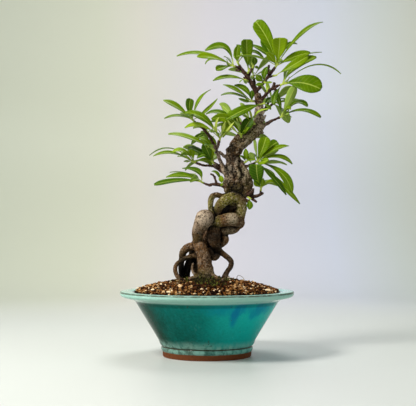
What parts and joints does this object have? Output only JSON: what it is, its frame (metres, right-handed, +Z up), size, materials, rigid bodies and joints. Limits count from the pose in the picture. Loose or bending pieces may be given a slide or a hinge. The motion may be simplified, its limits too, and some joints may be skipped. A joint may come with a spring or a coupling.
{
  "type": "potted bonsai tree",
  "caption": "Small broad-leaved evergreen tree with braided exposed roots and leafy shoots, growing in granular soil in a round flared glazed pot with a wide flat rim.",
  "frame": {"origin": "on the pot's axis, in the plane of the surface that the foot ring stands on; the mount pot_underside lies on the same axis, 1.8 mm higher, on the recessed underside", "axes": "+Z up along the pot's axis, from the foot to the tree's top; -Y towards the side that is seen first; +X to the right as seen from that side, the way the trunk leans"},
  "size_m": [0.2216, 0.1732, 0.3346],
  "materials": {
    "glaze": "gloss",
    "potting_mix": "matte",
    "bark": "matte",
    "leaf": "satin",
    "mesh_plastic": "matte",
    "wire": "satin"
  },
  "bodies": {
    "root": {"pot": "glaze", "drain_mesh_left": "mesh_plastic", "drain_mesh_right": "mesh_plastic", "drain_wire_left": "wire", "drain_wire_right": "wire", "soil": "potting_mix", "wood": "bark", "leaves_crown_left_outer": "leaf", "leaves_crown_left_inner": "leaf", "leaves_crown_left_twig": "leaf", "leaves_crown_left_stalk": "leaf", "leaves_crown_right_knob": "leaf", "leaves_crown_centre_front": "leaf", "leaves_crown_right": "leaf", "leaves_right_twig": "leaf", "leaves_left_fork_spur": "leaf", "leaves_trunk_top_spur": "leaf", "leaves_left_pad_inner": "leaf", "leaves_left_pad_outer": "leaf", "leaves_trunk_bend_spur": "leaf", "leaves_long_left_leaf_spur": "leaf", "leaves_left_mid_tip": "leaf", "leaves_left_low_tip": "leaf", "leaves_left_low_bud": "leaf", "leaves_right_mid_tip": "leaf", "leaves_right_mid_back": "leaf", "leaves_right_low_tip": "leaf", "leaves_right_low_drop": "leaf", "leaves_back_low": "leaf", "leaves_back_right": "leaf", "leaves_back_top": "leaf", "leaves_back_right_low": "leaf", "leaves_back_left_low": "leaf", "leaves_back_middle": "leaf", "leaves_crown_right_back": "leaf"}
  },
  "joints": []
}
